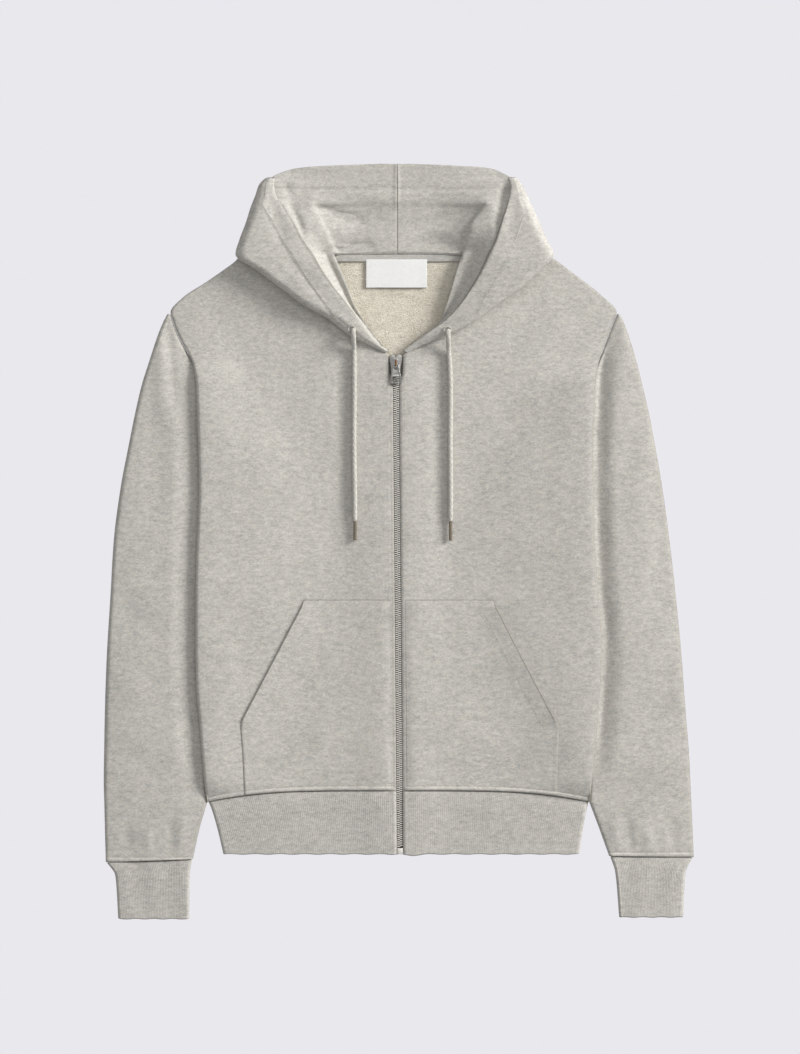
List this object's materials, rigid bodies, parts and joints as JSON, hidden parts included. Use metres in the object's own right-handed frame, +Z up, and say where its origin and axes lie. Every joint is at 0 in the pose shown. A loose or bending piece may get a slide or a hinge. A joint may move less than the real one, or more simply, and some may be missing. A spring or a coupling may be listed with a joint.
{
  "type": "zip up hoodie",
  "caption": "Zip-front hooded sweatshirt in heather fleece, laid flat, with kangaroo pockets, rib cuffs and waistband, drawcords and a hinged zip pull.",
  "frame": {"origin": "on the surface the garment lies on, below the middle of the body", "axes": "+Y towards the hood, +X towards the wearer's left side, +Z up out of the chest"},
  "size_m": [0.6486, 0.8297, 0.027],
  "materials": {
    "fleece": "heather grey loopback fleece, brushed face",
    "lining": "heather grey jersey side of the hood",
    "rib": "rib knit, heather grey",
    "tape": "woven tape, grey",
    "cord": "braided cotton cord",
    "label": "blank satin label",
    "aglet": "dark antique metal",
    "zip": "antique silver metal"
  },
  "bodies": {
    "garment": {"back": "fleece", "waistband": "rib", "front_right": "fleece", "front_left": "fleece", "pocket_right": "fleece", "pocket_left": "fleece", "sleeve_right": "fleece", "sleeve_left": "fleece", "cuff_right": "rib", "cuff_left": "rib", "hood_outer_right": "fleece", "hood_outer_left": "fleece", "hood_lining_right": "lining", "hood_lining_left": "lining", "hood_layers_right": "lining", "hood_layers_left": "lining", "zip_tape_right": "tape", "zip_tape_left": "tape", "eyelet_right": "cord", "eyelet_left": "cord", "drawcord_right": "cord", "drawcord_left": "cord", "aglet_right": "aglet", "aglet_left": "aglet", "neck_tape": "tape", "label": "label", "zip_chain": "zip", "zip_stop": "zip", "zip_slider": "zip"},
    "pull_tab": {"pull_tab": "zip"}
  },
  "joints": [
    {"name": "pull_tab_swing", "type": "hinge", "parent": "garment", "child": "pull_tab", "pos_m": [-0.00294, 0.194, 0.009], "axis": [-1, 0, 0], "range_deg": [0, 160]}
  ]
}
